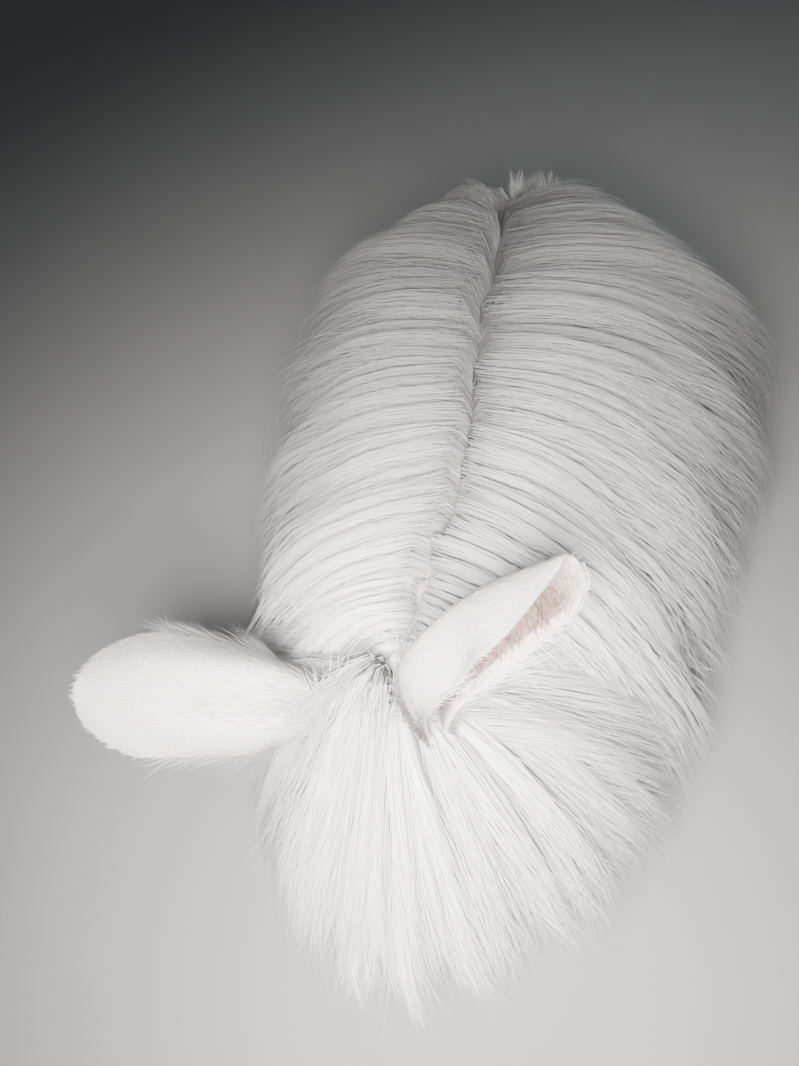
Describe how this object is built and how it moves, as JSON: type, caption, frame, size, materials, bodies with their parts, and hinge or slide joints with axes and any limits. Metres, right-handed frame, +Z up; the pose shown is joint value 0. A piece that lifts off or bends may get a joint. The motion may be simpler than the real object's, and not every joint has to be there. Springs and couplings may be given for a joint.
{
  "type": "angora rabbit",
  "caption": "Life-size still model of a long-coated white rabbit feeding with its head lowered, coat parted along the back, one ear held out level and one raised.",
  "frame": {"origin": "on the floor under the middle of the model's box, which takes in the coat's tips", "axes": "+Z up, -Y from the rump towards the nose, +X towards the rabbit's own left"},
  "size_m": [0.2937, 0.4938, 0.2376],
  "materials": {
    "coat": "long, silky white wool with a soft sheen",
    "short_fur": "short, dense white fur",
    "ear": "velvety white fur with pink skin showing through, bare pink skin inside",
    "skin": "bare pink skin of the nose, lips and lids",
    "eye": "wet, glossy ruby eye of an albino",
    "claw": "pale translucent horn"
  },
  "bodies": {
    "root": {"head": "coat", "neck": "coat", "torso": "coat", "rump": "coat", "tail": "coat", "ear_left": "ear", "ear_right": "ear", "eye_left": "eye", "eye_right": "eye", "foreleg_left": "short_fur", "foreleg_right": "short_fur", "hindleg_left": "short_fur", "hindleg_right": "short_fur"}
  },
  "joints": []
}
